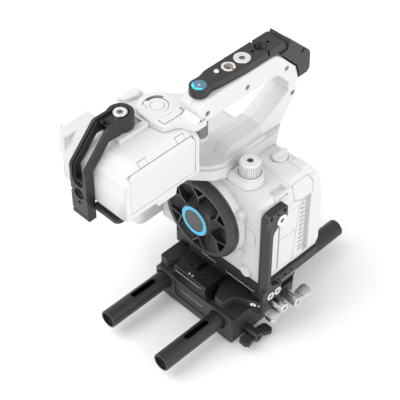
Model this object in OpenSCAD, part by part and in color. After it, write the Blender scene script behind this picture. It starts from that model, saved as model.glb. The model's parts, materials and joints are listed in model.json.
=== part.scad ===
// Camera cage kit: rod base, sliding dovetail plate, side arm, handle plate and guard bracket on a plain dummy camera.
// Design frame: x across (0 on the optical axis), y backwards from the rods' front ends, z up from the rods' axes.

/* [Rods] */
// Outer diameter of both rods
rod_d = 15; // [12:0.5:16]
// Wall of the rod tube
rod_wall = 1.5; // [1:0.1:3]
// Length of a rod
rod_length = 203; // [180:1:260]
// Distance between the rod axes
rod_spacing = 60; // [58:0.5:62]
// Width of the long slots in the rods
rod_slot_w = 5; // [3:0.1:6]
// Length of the long slots
rod_slot_l = 25; // [15:1:30]
// Start of each slot from its rod end
rod_slot_from_end = 25.5; // [15:0.5:32]
// Radial clearance of a rod in its bore
rod_fit = 0.05; // [0.02:0.01:0.1]

/* [Rod clamp block] */
// Front face of the block behind the rods' front ends
block_front = 61; // [55:0.5:70]
// Length of the block along the rods
block_l = 71; // [60:0.5:80]
// Left side of the block from the middle
block_left = 39.5; // [39:0.1:44]
// Right side of the block from the middle
block_right = 45; // [42:0.5:50]
// Top of the block above the rod axes
block_top = 10; // [9:0.1:12]
// Underside of the block below the rod axes
block_under = 16; // [14.5:0.1:18]
// Height of the foot lips under the block
foot_lip = 1.8; // [1:0.1:3]
// Inlaid clamp pad: length along the rods
pad_l = 27; // [20:0.5:32]
// Inlaid clamp pad: height
pad_h = 8; // [7:0.1:9]
// Inlaid clamp pad: thickness
pad_t = 2; // [1:0.1:3]

/* [Wing screws] */
// Height of the rod clamp screw's axis below the rod axes
clamp_screw_drop = 10; // [9.8:0.1:11]
// Place of the rod clamp screw along the rods
clamp_screw_y = 77; // [72:0.5:84]
// Shank diameter of the wing screws
shank_d = 4; // [3:0.1:4.2]
// Hub diameter of the wing screws
hub_d = 9; // [7:0.1:9.6]
// Reach of a wing from the screw's axis
wing_reach = 15.5; // [12:0.1:16]
// Width of a wing along the screw
wing_w = 10; // [7:0.5:11]
// Thickness of a wing
wing_t = 4; // [3:0.1:5]
// How far a wing leans outwards at its tip
wing_lean = 2.4; // [0:0.1:3]
// Front jaw screw: place along the rods
jaw_screw_front_y = 97; // [96:0.1:98]
// Front jaw screw: height above the rod axes
jaw_screw_front_z = 14.5; // [13:0.1:15]
// Rear jaw screw: place along the rods
jaw_screw_rear_y = 110; // [109.5:0.1:112]
// Rear jaw screw: height above the rod axes
jaw_screw_rear_z = 13; // [12:0.1:15]

/* [Quick-release receiver] */
// Front end of the receiver
receiver_front = 64; // [62:0.5:68]
// Rear end of the receiver
receiver_rear = 128; // [122:0.5:130]
// Thickness of the receiver's floor
receiver_floor = 3; // [2.5:0.1:4]
// Top of both jaws above the rod axes
jaw_top = 21; // [19:0.1:23]
// Outer side of the moving jaw from the middle
jaw_out = 56; // [54:0.5:57]
// Half width of the dovetail at its foot
dovetail_foot = 21.3; // [20:0.1:22]
// Half width of the dovetail at its waist
dovetail_waist = 17.5; // [16:0.1:18.5]
// Top of the dovetail plate above the rod axes
deck_top = 27; // [25:0.1:28]
// Front end of the dovetail plate
deck_front = 58.5; // [55:0.5:62]

/* [Camera plate and side arm] */
// Front edge of the camera plate
plate_front = 81; // [78:0.5:83]
// Rear edge of the camera plate
plate_rear = 149; // [140:0.5:152]
// Left side of the camera plate from the middle
plate_left = 39.5; // [37:0.5:46]
// Thickness of the camera plate
plate_t = 13; // [11:0.5:14]
// Thickness of the side arm beside the body
arm_t = 6.4; // [5:0.1:8]
// Thickness of the arm's foot beside the camera plate
arm_foot_t = 4; // [3:0.1:5]
// Front face of the side arm
arm_front = 80; // [78:0.5:82]
// Drop of the side arm's top below the body's shoulders
arm_drop = 6; // [2:0.5:12]
// Width of the upright strip of the arm
arm_strip_w = 8; // [6:0.5:10]
// Width of the arm's top pad
arm_pad_w = 22.5; // [20:0.5:24]

/* [Camera body] */
// Half width of the body to the right
body_right = 53.3; // [52:0.1:53.5]
// Left side of the body from the middle, where the grip starts
body_left = 55; // [52:0.5:58]
// Front face of the body
body_front = 84; // [83.5:0.1:86]
// Rear face of the body
body_rear = 149.5; // [146:0.5:150]
// Height of the body's shoulders
body_h = 85; // [80:0.5:88]
// Height of the optical axis above the rod axes
lens_z = 85; // [84.5:0.1:86]
// Outer radius of the lens cap
cap_r = 36; // [33:0.1:36.5]
// Thickness of the lens cap's rim
cap_t = 8; // [6:0.1:8.5]
// Front of the lens cap's rim
cap_front = 69.5; // [69:0.1:70]
// Radius of the badge in the middle of the cap
badge_r = 13.5; // [10:0.1:15]
// Width of the grip
grip_w = 32; // [26:0.5:36]
// Front of the grip
grip_front = 59; // [56:0.5:66]

/* [Top handle] */
// Top of the handle bar above the rod axes
bar_top = 206; // [200:0.5:210]
// Height of the handle bar
bar_h = 19; // [16:0.5:22]
// Half width of the handle
handle_half_w = 10; // [8:0.5:11]
// Front end of the handle bar
bar_front = 62; // [60:0.5:64]

/* [Control head and audio box] */
// Top of the control head above the rod axes
head_top = 192; // [190.5:0.5:193]
// Top of the audio box above the rod axes
box_top = 186; // [184:0.5:187]
// Front face of the audio box
box_front = -10.8; // [-10.9:0.1:-10]
// Rear face of the audio box
box_rear = 60.8; // [58:0.1:61]
// Right side of the audio box from the middle
box_right = 11; // [9:0.5:12]
// Left side of the audio box from the middle
box_left = 56; // [52:0.5:58]
// Underside of the audio box at its rear
box_under = 146; // [143:0.5:150]

/* [Guard bracket and top plate] */
// Width of the guard bracket's strap
strap_w = 16.5; // [14:0.5:18]
// Thickness of the strap
strap_t = 7.5; // [6:0.1:8]
// Middle of the strap across the camera
strap_x = -27; // [-28:0.5:-26]
// Front face of the strap
strap_front = -18.7; // [-19:0.1:-18.5]
// Diameter of the large threaded holes
mount_hole_d = 9.5; // [8:0.1:10]
// Half width of the top plate
top_plate_half_w = 8.7; // [7.5:0.1:9.5]
// Thickness of the top plate
top_plate_t = 7; // [5:0.5:8]
// Centre of the top plate's round nose
nose_y = 71; // [70:0.5:73]
// Rear end of the top plate's flat
top_plate_rear = 148.3; // [146:0.1:149]

/* [Hidden] */
$fn = 64;
gap = 0.3;
seat = 0.1;
rod_r = rod_d / 2;
rod_x = rod_spacing / 2;
block_rear = block_front + block_l;
pad_front = clamp_screw_y - 12;
washer_t = 0.8;
floor_top = block_top + receiver_floor;
receiver_right = 48;
jaw_shank_l = jaw_out + washer_t + seat - receiver_right - 2 * gap;
plate_top = deck_top + plate_t;
body_top = plate_top + body_h;
arm_out = body_right + gap + arm_t;
arm_top = body_top - arm_drop;
arm_screw_y = arm_front + 15.9;
arm_screw_z = arm_top - 11.4;
plate_right = arm_out - arm_foot_t;
// The handle and the pieces on it are drawn over a body top at this height; on_body() takes them to the real one.
drawn_top = 125;
hub_l = 13.5;
jaw_hub_front_l = 11;
bar_bottom = bar_top - bar_h;
top_plate_top = bar_top + top_plate_t;
eye_y = 22.5;
eye_bottom = 191;
eye_top = 202;
rec_x = -23.3;
rec_y = 53.2;
rocker_x = -7.6;
rocker_front = 42.8;
rocker_rear = 61;
rocker_half_w = 2.6;
lever_angle = 208;
screen_half_w = 39.7;
dial_x = 4;
dial_y = 67.5;
dial_r = 6;
shoe_top = 189;
shoe_rear = 37.9;
box_belly = 144.6;
chamfer_low = 178.3;
chamfer_w = box_top - chamfer_low + 0.2;
door_t = 2.5;
door_low = 149.3;
door_front_y = -4.1;
door_rear_y = 56.6;
latch_front_y = [8.4, 43.5];
latch_l = 7.1;
latch_top_x = 4.4;
latch_top_z = 184.9;
lug_t = 2;
lug_h = 5;
lug_front = 95;
lug_rear = 110.5;
release_x = cap_r + 2.5;
release_z = plate_top + 5.8;
knob_x = 28.3;
knob_y = 94.4;
pedestal_top = body_top + 8.5;
// Shift from the design frame to the part's frame: centred, with the foot lips on the ground.
left_end = -body_left - grip_w;
right_end = jaw_out + washer_t + seat + hub_l + wing_lean - 0.6;
centre_x = (left_end + right_end) / 2;
centre_y = (strap_front + rod_length) / 2;
ground = -block_under - foot_lip;

black = [0.16, 0.16, 0.17];
white = [0.93, 0.93, 0.93];
steel = [0.78, 0.77, 0.75];
cyan = [0.25, 0.82, 1];

// Moves a piece from the design frame to the part's frame.
module seated() { translate([-centre_x, -centre_y, -ground]) children(); }

// The same for the pieces that the body carries through the handle's foot.
module on_body() { translate([0, 0, body_top - drawn_top]) seated() children(); }

// A box between two corners.
module span(low, high) { translate(low) cube(high - low); }

// An outline seen from above, from z0 up to z1.
module plan(points, z0, z1) { translate([0, 0, z0]) linear_extrude(z1 - z0) polygon(points); }

// An outline seen from the right side (y, z), from x0 to x1.
module profile(points, x0, x1) {
    translate([x0, 0, 0]) rotate([90, 0, 90]) linear_extrude(x1 - x0) polygon(points);
}

// An outline seen from the front (x, z), from y0 to y1.
module front_view(points, y0, y1) {
    translate([0, y1, 0]) rotate([90, 0, 0]) linear_extrude(y1 - y0) polygon(points);
}

// A round bar along x, y or z through a given point.
module bar_x(x0, x1, y, z, r, n = 64) { translate([x0, y, z]) rotate([0, 90, 0]) cylinder(h = x1 - x0, r = r, $fn = n); }
module bar_y(x, y0, y1, z, r, n = 64) { translate([x, y0, z]) rotate([-90, 0, 0]) cylinder(h = y1 - y0, r = r, $fn = n); }
module bar_z(x, y, z0, z1, r, n = 64) { translate([x, y, z0]) cylinder(h = z1 - z0, r = r, $fn = n); }

// A box whose upright edges are rounded.
module rounded_span(low, high, r) {
    span([low[0] + r, low[1], low[2]], [high[0] - r, high[1], high[2]]);
    span([low[0], low[1] + r, low[2]], [high[0], high[1] - r, high[2]]);
    for (x = [low[0] + r, high[0] - r], y = [low[1] + r, high[1] - r]) bar_z(x, y, low[2], high[2], r);
}

// A slot with round ends along y, cut from z0 to z1.
module slot_y(x, y0, y1, z0, z1, w) {
    span([x - w / 2, y0 + w / 2, z0], [x + w / 2, y1 - w / 2, z1]);
    for (y = [y0 + w / 2, y1 - w / 2]) bar_z(x, y, z0, z1, w / 2);
}

// A screw head with a hexagon socket; the axis runs along z and the head's outer face is at z = 0.
module socket_head(r, h, socket_r) {
    difference() {
        translate([0, 0, -h]) cylinder(h = h, r = r);
        translate([0, 0, -h * 0.6]) cylinder(h = h, r = socket_r, $fn = 6);
    }
}

// A rod is a tube with a slot near each end.
module rod(x) {
    color(black) difference() {
        bar_y(x, 0, rod_length, 0, rod_r);
        bar_y(x, -1, rod_length + 1, 0, rod_r - rod_wall);
        slot_y(x, rod_slot_from_end, rod_slot_from_end + rod_slot_l, 0, rod_r + 1, rod_slot_w);
        slot_y(x, rod_length - rod_slot_from_end - rod_slot_l, rod_length - rod_slot_from_end, 0, rod_r + 1, rod_slot_w);
    }
}
module rod_left() { seated() rod(-rod_x); }
module rod_right() { seated() rod(rod_x); }

module rod_clamp_block() {
    shoulder = 2;
    corner = 3;
    lip_w = 8;
    outline = [[-block_left, -block_under + corner], [-block_left + corner, -block_under],
        [block_right - 1, -block_under], [block_right, -block_under + 1],
        [block_right, block_top - shoulder], [rod_x + rod_r + shoulder, block_top],
        [-rod_x - rod_r, block_top], [-block_left, block_top - shoulder]];
    recess = [[-18, 6.6], [-18, -7], [-15, -9.5], [16, -9.5], [19, -7], [19, 6.6]];
    lips = [[-block_left + corner, -block_left + corner + lip_w], [-6, 12], [block_right - lip_w, block_right]];
    seated() color(black) difference() {
        union() {
            front_view(outline, block_front, block_rear);
            for (lip = lips) span([lip[0], block_front + 1, ground], [lip[1], block_rear - 1, -block_under + 1]);
        }
        for (x = [-rod_x, rod_x]) {
            bar_y(x, block_front - 1, block_rear + 1, 0, rod_r + rod_fit);
            bar_y(x, block_front - 1, block_front + 1.5, 0, rod_r + 1);
        }
        front_view(recess, block_front - 1, block_front + 1.2);
        bar_x(-15, block_right + 1, clamp_screw_y, -clamp_screw_drop, shank_d / 2 + rod_fit);
        span([block_right - pad_t - gap, pad_front - gap, -clamp_screw_drop - pad_h / 2 - gap],
            [block_right + 1, pad_front + pad_l + gap, -clamp_screw_drop + pad_h / 2 + gap]);
        for (x = [-17, 17], y = [block_front + 8, block_rear - 8]) bar_z(x, y, ground - 1, -block_under + 6, 2.5);
        bar_z(0, (block_front + block_rear) / 2, ground - 1, block_top - 1, 3);
    }
}

module rod_clamp_pad() {
    seated() color(black) difference() {
        span([block_right - pad_t, pad_front, -clamp_screw_drop - pad_h / 2],
            [block_right, pad_front + pad_l, -clamp_screw_drop + pad_h / 2]);
        bar_x(block_right - pad_t - 1, block_right + 1, clamp_screw_y, -clamp_screw_drop, shank_d / 2 + rod_fit);
    }
}

module washer(x, y, z) {
    difference() {
        bar_x(x, x + washer_t, y, z, hub_d / 2 + 0.3);
        bar_x(x - 1, x + washer_t + 1, y, z, shank_d / 2 + rod_fit);
    }
}
module rod_clamp_washer() { seated() color([0.45, 0.33, 0.25]) washer(block_right, clamp_screw_y, -clamp_screw_drop); }

// One ribbed wing that points away from the axis at the given angle; the screw's axis runs along x.
module wing(angle, x0) {
    ribs = 5;
    rib_step = 1.5;
    rotate([angle, 0, 0]) difference() {
        plan([[x0 + 2.2, 0], [x0 + 1.2 + wing_lean * 0.3, wing_reach - 9], [x0 + wing_lean * 0.85, wing_reach - 2],
            [x0 + 1.5 + wing_lean, wing_reach], [x0 + wing_w - 2.5 + wing_lean, wing_reach],
            [x0 + wing_w + wing_lean, wing_reach - 2.5], [x0 + wing_w - 1, 0]], -wing_t / 2, wing_t / 2);
        for (i = [0:ribs - 1], side = [-1, 1])
            bar_x(x0 - 1, x0 + wing_w + 4, wing_reach - 1.6 - i * rib_step, side * (wing_t / 2 + 0.1), 0.45, 16);
        for (side = [0, 1]) mirror([0, 0, side]) profile([[4.5, wing_t / 2 + 1], [4.5, wing_t / 2 - 0.9],
            [wing_reach - 9.5, wing_t / 2 - 0.9], [wing_reach - 8, wing_t / 2 + 1]], x0 - 1, x0 + wing_w + 4);
    }
}

// A wing screw whose hub starts at x = 0, with its shank running to -x.
module wing_screw(angles, shank_l, hub_len) {
    difference() {
        union() {
            bar_x(-shank_l, 1, 0, 0, shank_d / 2);
            bar_x(0, hub_len, 0, 0, hub_d / 2);
            for (a = angles) wing(a, hub_len - wing_w - 0.6);
        }
        translate([hub_len - 1.6, 0, 0]) rotate([0, 90, 0]) cylinder(h = 3, r = 1.7, $fn = 6);
    }
}
module rod_clamp_screw() {
    seated() color(black) translate([block_right + washer_t + seat, clamp_screw_y, -clamp_screw_drop])
        wing_screw([-12, 168], block_right + 10, hub_l + 1);
}
module jaw_screw_front() {
    seated() color(steel) translate([jaw_out + washer_t + seat, jaw_screw_front_y, jaw_screw_front_z])
        wing_screw([193], jaw_shank_l, jaw_hub_front_l);
}
module jaw_screw_rear() {
    seated() color(steel) translate([jaw_out + washer_t + seat, jaw_screw_rear_y, jaw_screw_rear_z])
        wing_screw([13], jaw_shank_l, hub_l);
}
module jaw_washers() {
    seated() color([0.45, 0.33, 0.25]) {
        washer(jaw_out, jaw_screw_front_y, jaw_screw_front_z);
        washer(jaw_out, jaw_screw_rear_y, jaw_screw_rear_z);
    }
}

// Leaning side of the dovetail groove as seen from the front, used for both jaws.
function groove_side(side, clear) = [[side * (dovetail_foot + clear), floor_top], [side * (dovetail_waist + clear), jaw_top]];

module receiver_body() {
    left = 37;
    right = receiver_right;
    seated() color(black) difference() {
        union() {
            span([-left, receiver_front, block_top], [right, receiver_rear, floor_top]);
            intersection() {
                front_view(concat(groove_side(-1, 0.1), [[-left, jaw_top], [-left, floor_top]]), receiver_front, receiver_rear);
                plan([[-left, receiver_front + 1], [-left + 1, receiver_front], [-29.5, receiver_front],
                    [-dovetail_waist, receiver_front + 14], [-dovetail_waist, receiver_rear - 4],
                    [-left + 6, receiver_rear], [-left, receiver_rear - 6]], 0, jaw_top + 1);
            }
        }
        bar_z(-30, 88, jaw_top - 6, jaw_top + 1, 2);
        bar_z(-30, 112, jaw_top - 6, jaw_top + 1, 2);
        for (y = [receiver_front + 8, receiver_rear - 8]) bar_z(0, y, block_top - 1, floor_top + 1, 2.2);
    }
}

module receiver_bolts() {
    seated() color(steel) for (y = [receiver_front + 8, receiver_rear - 8])
        bar_z(0, y, block_top + 0.1, floor_top - 0.4, 2.15);
}

module receiver_jaw() {
    tip_front = receiver_front;
    skirt_x = receiver_right + gap;
    bend_x = 35.6;
    seated() color(black) difference() {
        union() {
            intersection() {
                front_view(concat(groove_side(1, 0.1), [[jaw_out, jaw_top], [jaw_out, floor_top + 0.05], [dovetail_foot, floor_top + 0.05]]),
                    receiver_front - 1, receiver_rear);
                plan([[dovetail_waist, receiver_front + 14], [24, tip_front], [34, tip_front - 1.8], [bend_x, tip_front + 9.5],
                    [jaw_out, 84.2], [jaw_out, 119], [jaw_out - 6, receiver_rear - 1], [dovetail_waist, receiver_rear - 1]],
                    floor_top + 0.05, jaw_top);
            }
            plan([[skirt_x, 80.5], [jaw_out, 84.2], [jaw_out, 119], [skirt_x, 124]], 7.8, floor_top + 1);
        }
        bar_x(jaw_out - 14, jaw_out + 1, jaw_screw_front_y, jaw_screw_front_z, shank_d / 2 + rod_fit);
        bar_x(jaw_out - 14, jaw_out + 1, jaw_screw_rear_y, jaw_screw_rear_z, shank_d / 2 + rod_fit);
    }
}

module dovetail_plate() {
    rear = 126;
    lean = 2;
    foot = dovetail_foot - gap * (dovetail_foot - dovetail_waist) / (jaw_top - floor_top);
    outline = [[-foot, floor_top + gap], [foot, floor_top + gap], [dovetail_waist, jaw_top], [dovetail_waist, deck_top],
        [-dovetail_waist, deck_top], [-dovetail_waist, jaw_top]];
    seated() color(black) difference() {
        front_view(outline, deck_front, rear);
        profile([[deck_front - 1, deck_top + 1], [deck_front + lean + 1, deck_top + 1], [deck_front + lean, deck_top],
            [deck_front, floor_top + 4], [deck_front + 3, floor_top], [deck_front + 3, floor_top - 1], [deck_front - 1, floor_top - 1]], -30, 30);
        slot_y(0, 68.7, 82, deck_top - 3, deck_top + 1, 4.6);
        for (x = [-8, 8]) bar_z(x, 70.5, deck_top - 5, deck_top + 1, 1.3);
        for (x = [-12, 12]) bar_y(x, deck_front - 1, deck_front + 5, deck_top - 4, 1.1);
        for (x = [-2.1, 1.2]) bar_z(x, deck_front + 4, deck_top - 2, deck_top + 1, 1.05);
        bar_z(0, 105, floor_top - 1, deck_top + 1, 3.3);
    }
}
module deck_pins() { seated() color(steel) for (x = [-2.1, 1.2]) bar_z(x, deck_front + 4, deck_top - 2, deck_top + 0.3, 1); }

module camera_plate() {
    lip = 3;
    corner = 4;
    outline = [[-plate_left, plate_front + corner], [-plate_left + corner, plate_front], [plate_right - 1, plate_front],
        [plate_right, plate_front + 1], [plate_right, plate_rear - corner], [plate_right - corner, plate_rear],
        [-plate_left + corner, plate_rear], [-plate_left, plate_rear - corner]];
    seated() color(black) difference() {
        plan(outline, deck_top, plate_top);
        span([-30, plate_front - 1, deck_top - 1], [-dovetail_waist - lip, plate_rear + 1, deck_top + 4]);
        span([dovetail_waist + lip, plate_front - 1, deck_top - 1], [46, plate_rear + 1, deck_top + 3]);
        span([-plate_left - 1, 121, deck_top - 1], [plate_right + 1, plate_rear + 1, deck_top + 4]);
        for (y = [101.1, 108.4, 115.7]) bar_x(plate_right - 5, plate_right + 1, y, plate_top - 4, 1.3);
        for (y = [88.1, 96]) bar_x(plate_right - 9, plate_right + 1, y, deck_top + 3.2, 2);
        bar_z(0, 105, deck_top - 1, plate_top + 1, 3.3);
        for (x = [-25, 25]) bar_z(x, 130, deck_top - 1, plate_top + 1, 3);
    }
}
module camera_screw() { seated() color(steel) translate([0, 105, floor_top + 4]) union() {
    cylinder(h = plate_top - floor_top - 4.2, r = 3.2);
    mirror([0, 0, 1]) translate([0, 0, -1]) cylinder(h = 2, r = 3.2);
} }

module side_arm() {
    inner = plate_right;
    upper_inner = body_right + gap;
    corner = 5;
    strip_rear = arm_front + arm_strip_w;
    pad_rear = arm_front + arm_pad_w;
    foot_rear = 101;
    foot_low = 24.5;
    chamfer = 4;
    screw_y = arm_screw_y;
    screw_z = arm_screw_z;
    seated() color(black) difference() {
        union() {
            profile([[arm_front, plate_top + 1], [strip_rear, plate_top + 1], [strip_rear, arm_top - 24], [strip_rear + 0.8, arm_top - 21],
                [strip_rear + 2.6, arm_top - 18.6], [screw_y - 3, arm_top - 16.8], [screw_y + 3, arm_top - 17],
                [screw_y + 5.6, arm_top - 15], [pad_rear, arm_top - 11],
                [pad_rear, arm_top - 1.5], [pad_rear - 1.5, arm_top], [arm_front + corner, arm_top],
                [arm_front + corner * 0.5, arm_top - corner * 0.134], [arm_front + corner * 0.134, arm_top - corner * 0.5],
                [arm_front, arm_top - corner]], upper_inner, arm_out);
            profile([[arm_front, foot_low + 3], [arm_front + 3, foot_low], [foot_rear - 3, foot_low], [foot_rear, foot_low + 3],
                [foot_rear, 33], [foot_rear - 4, 37], [strip_rear + 3, 39], [strip_rear, 44], [arm_front, 44]], inner, arm_out);
        }
        plan([[arm_out + 1, arm_front + chamfer + 1], [arm_out + 1, arm_front - 1], [arm_out - chamfer - 1, arm_front - 1]], 38, arm_top - 13);
        span([inner - 5, arm_front - 1, 20], [inner, foot_rear + 1, plate_top + gap]);
        for (y = [84.7, 98.6]) {
            bar_x(upper_inner - 1, arm_out + 1, y, arm_top - 3.8, 1.3);
            bar_x(upper_inner - 1, arm_out + 1, y, arm_top - 2.6, 1.3);
        }
        bar_x(upper_inner - 1, arm_out + 1, 91.6, arm_top - 3.1, 1.1);
        bar_x(upper_inner - 1, arm_out - 1, screw_y, screw_z, 2.1);
        bar_x(arm_out - 1.2, arm_out + 1, screw_y, screw_z, 5.1);
        for (y = [88.1, 96]) {
            bar_x(inner - 1, arm_out + 1, y, deck_top + 3.2, 2);
            bar_x(arm_out - 1, arm_out + 1, y, deck_top + 3.2, 3.7);
        }
    }
}
module side_arm_screws() {
    seated() color(steel) for (y = [88.1, 96]) translate([arm_out + 0.8, y, deck_top + 3.2]) rotate([0, 90, 0]) union() {
        socket_head(3.6, 1.8, 1.7);
        translate([0, 0, -10]) cylinder(h = 8.3, r = 1.9);
    }
}
module side_arm_top_screw() {
    seated() color(steel) translate([arm_out + 0.7, arm_screw_y, arm_screw_z]) rotate([0, 90, 0]) union() {
        socket_head(5, 1.9, 2.3);
        translate([0, 0, -5.8]) cylinder(h = 4, r = 2);
    }
}

// Points of a sector between two radii, for the cap's pockets.
function arc(r, a0, a1, n) = [for (i = [0:n]) [r * cos(a0 + (a1 - a0) * i / n), r * sin(a0 + (a1 - a0) * i / n)]];

module lens_cap() {
    forks = 6;
    rim_w = 3.4;
    floor_t = 1.6;
    rim_r = cap_r - 2.6;
    pocket_r = rim_r - rim_w;
    spoke_w = 1.8;
    fork_r = 21;
    fork_angle = 40;
    cap_back = cap_front + cap_t;
    hub_front = cap_front - 2.9;
    seated() color(black) translate([0, cap_back, lens_z]) rotate([90, 0, 0]) difference() {
        union() {
            rotate_extrude() polygon([[0, 0], [cap_r - 1, 0], [cap_r, 1], [cap_r, cap_t - 3.4], [rim_r, cap_t],
                [pocket_r, cap_t], [pocket_r, cap_t - 1.8], [badge_r + 5, floor_t], [0, floor_t]]);
            cylinder(h = cap_back - hub_front - 0.8, r1 = badge_r + 4, r2 = badge_r + 0.4);
            for (i = [0:forks - 1]) rotate([0, 0, (i + 0.5) * 360 / forks]) linear_extrude(cap_t - 0.3) {
                translate([badge_r - 1, -spoke_w / 2]) square([fork_r - badge_r + 2, spoke_w]);
                for (side = [-1, 1]) translate([fork_r, 0]) rotate(side * fork_angle) translate([-spoke_w / 2, -spoke_w / 2])
                    square([(pocket_r - fork_r) / cos(fork_angle) + 1.6, spoke_w]);
            }
        }
        for (i = [0:forks - 1]) rotate([0, 0, (i + 0.5) * 360 / forks]) translate([0, 0, 1]) linear_extrude(cap_t)
            polygon([[fork_r + 1.7, 0], [pocket_r - 0.6, 5.9], [pocket_r - 0.6, -5.9]]);
    }
}
module cap_badge() {
    seated() color(cyan) bar_y(0, cap_front - 2.9 - 0.7, cap_front - 2.9 + 0.8, lens_z, badge_r);
}

module lens_mount_ring() {
    lug_r = cap_r + 2;
    cap_back = cap_front + cap_t;
    seated() color(white) union() {
        translate([0, body_front, lens_z]) rotate([90, 0, 0])
            rotate_extrude() polygon([[0, 0], [cap_r + 0.8, 0], [cap_r + 0.8, 2.5], [cap_r - 0.3, 3.4],
                [cap_r - 0.3, body_front - cap_back - gap], [0, body_front - cap_back - gap]]);
        for (a = [29, -35, 150, 208]) bar_y(lug_r * cos(a), cap_back + 1, body_front, lens_z + lug_r * sin(a), 3.8);
    }
}
module lens_release_button() {
    seated() color(white) bar_y(release_x, body_front - 2.5, body_front + 3, release_z, 4.6);
}

// Side outline of the seam between the front and the rear shell.
seam = [[119, plate_top], [124.3, body_top - 23.5], [116.8, body_top - 18], [112.6, body_top]];

module body_front_shell() {
    edge = 3;
    seated() color(white) difference() {
        union() {
            intersection() {
                profile([[body_front, plate_top], [seam[0][0], plate_top], seam[1], seam[2], [seam[3][0], body_top], [body_front, body_top]],
                    -body_left, body_right);
                front_view([[-body_left, plate_top], [body_right - 1, plate_top], [body_right, plate_top + 1], [body_right, body_top - edge],
                    [body_right - edge, body_top], [-body_left + edge, body_top], [-body_left, body_top - edge]], 0, 200);
                plan([[-body_left, body_front], [body_right - 3.5, body_front], [body_right, body_front + 3.5], [body_right, 150], [-body_left, 150]], 0, 200);
            }
            front_view([[cap_r + 1.1, 91.5], [43, 91.5], [46, 88.5], [46, 79], [44.5, 77.5], [cap_r + 1.1, 77.5]], body_front - 1, body_front + 1);
            bar_y(release_x, body_front - 1.2, body_front + 1, release_z, 5.6);
        }
        bar_y(release_x, body_front - 5, body_front + 5.2, release_z, 4.65);
        span([body_right - 2 - gap, 88.6, 44], [body_right + 1, 101.6, 96]);
        span([body_right - 4, 101.6, 46], [body_right + 1, 102.4, 91]);
        profile([[102.4, 44], [119 + 0.3, 44], [119 + 2.8, 74], [119 + 4.6, 99], [102.4, 99]], body_right - 2 - gap, body_right + 1);
        rounded_span([45.3, 96, body_top - 4], [body_right - 2, 109.5, body_top + 1], 1.5);
        span([body_right - lug_t - seat, lug_front - seat, body_top - lug_h - seat], [body_right + 1, lug_rear + seat, body_top + 1]);
    }
}
module port_door_front() {
    seated() color(white) span([body_right - 2, 88.6 + gap, 44 + gap], [body_right, 101.6 - gap, 96 - gap]);
}
// The two rear doors share a seam that rises slightly to the front.
module port_door_upper() {
    seated() color(white) profile([[102.4 + gap, 75.6], [121.6, 74.2], [123.3, 98.7], [102.4 + gap, 98.7]], body_right - 2, body_right);
}
module port_door_lower() {
    seated() color(white) profile([[102.4 + gap, 44 + gap], [118.9, 44 + gap], [121.4, 73.8], [102.4 + gap, 75.1]], body_right - 2, body_right);
}

module body_rear_shell() {
    edge = 3;
    deck = body_top + 3;
    step_top = body_top + 5;
    back = body_rear;
    seated() color(white) difference() {
        intersection() {
            union() {
                profile([[seam[0][0] + seat, plate_top], [back - 2.5, plate_top], [back, plate_top + 4], [back, body_top - 27], [back - 3.5, body_top - 15],
                    [back - 8.5, deck - 5.5], [back - 10.5, deck - 3.5], [134, deck], [116, deck], [seam[3][0] + seat, body_top],
                    [seam[2][0] + seat, seam[2][1]], [seam[1][0] + seat, seam[1][1]]], -body_left, body_right);
                span([38, 128.5, deck - 4], [body_right, 136, step_top]);
            }
            front_view([[-body_left, plate_top], [body_right, plate_top], [body_right, body_top - edge], [body_right - edge, body_top + 1],
                [body_right - edge - 2, step_top + 1], [-body_left, step_top + 1]], 0, 200);
        }
        span([body_right - 3, 124.8, 48], [body_right + 1, 131, body_top - 22.4]);
        span([body_right - 4.5, 131, 43], [body_right + 1, 136.5, body_top - 22.4]);
        profile([[124.6, body_top - 21.8], [117.2, body_top - 17.4], [113.4, body_top - 0.4], [131, body_top - 0.4],
            [137.6, body_top - 10], [137.6, body_top - 21.8]], body_right - 1.5, body_right + 1);
        span([-screen_half_w - gap, back - 2 - gap, 50], [screen_half_w + gap, back + 1, 96]);
        bar_z(27.4, 127.6, deck - 3, deck + 1, 6.7);
    }
}
module upper_cover() {
    seated() color(white) profile([[124.8, body_top - 21.5], [117.6, body_top - 17.2], [113.9, body_top - 0.8], [130.8, body_top - 0.8],
        [137.2, body_top - 10.2], [137.2, body_top - 21.5]],
        body_right - 1.5, body_right);
}
module vent_grille() {
    pitch = 4.5;
    foot = 48;
    fins = floor((body_top - 22.4 - foot) / pitch);
    seated() color(white) {
        span([body_right - 3, 124.8, foot], [body_right - 2.2, 131, body_top - 22.4]);
        for (i = [0:fins - 1]) profile([[124.8, 49.4 + i * pitch], [131, 49 + i * pitch], [131, 50.8 + i * pitch], [124.8, 51.2 + i * pitch]],
            body_right - 2.3, body_right - 0.2);
    }
}
module rear_screen() {
    seated() color(white) span([-screen_half_w, body_rear - 2, 50 + gap], [screen_half_w, body_rear, 96 - gap]);
}

module grip() {
    r = 7;
    top = body_top - 7;
    seated() color(white) difference() {
        rounded_span([-body_left - grip_w, grip_front, plate_top + 2], [-body_left - 0.1, 138, top], r);
        bar_z(-body_left - 4, grip_front + 1, 96 - gap, 104 + gap, 5.6);
    }
}
module grip_dial() { seated() color(black) bar_z(-body_left - 4, grip_front + 1, 96, 104, 5.2); }

module strap_lug() {
    post = 2.6;
    seated() color(steel) difference() {
        span([body_right - lug_t, lug_front, body_top - lug_h], [body_right + 0.6, lug_rear, body_top - 0.8]);
        span([body_right - lug_t - 1, lug_front + post, body_top - lug_h - 1], [body_right + 2, lug_rear - post, body_top - 2.4]);
    }
}

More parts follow.
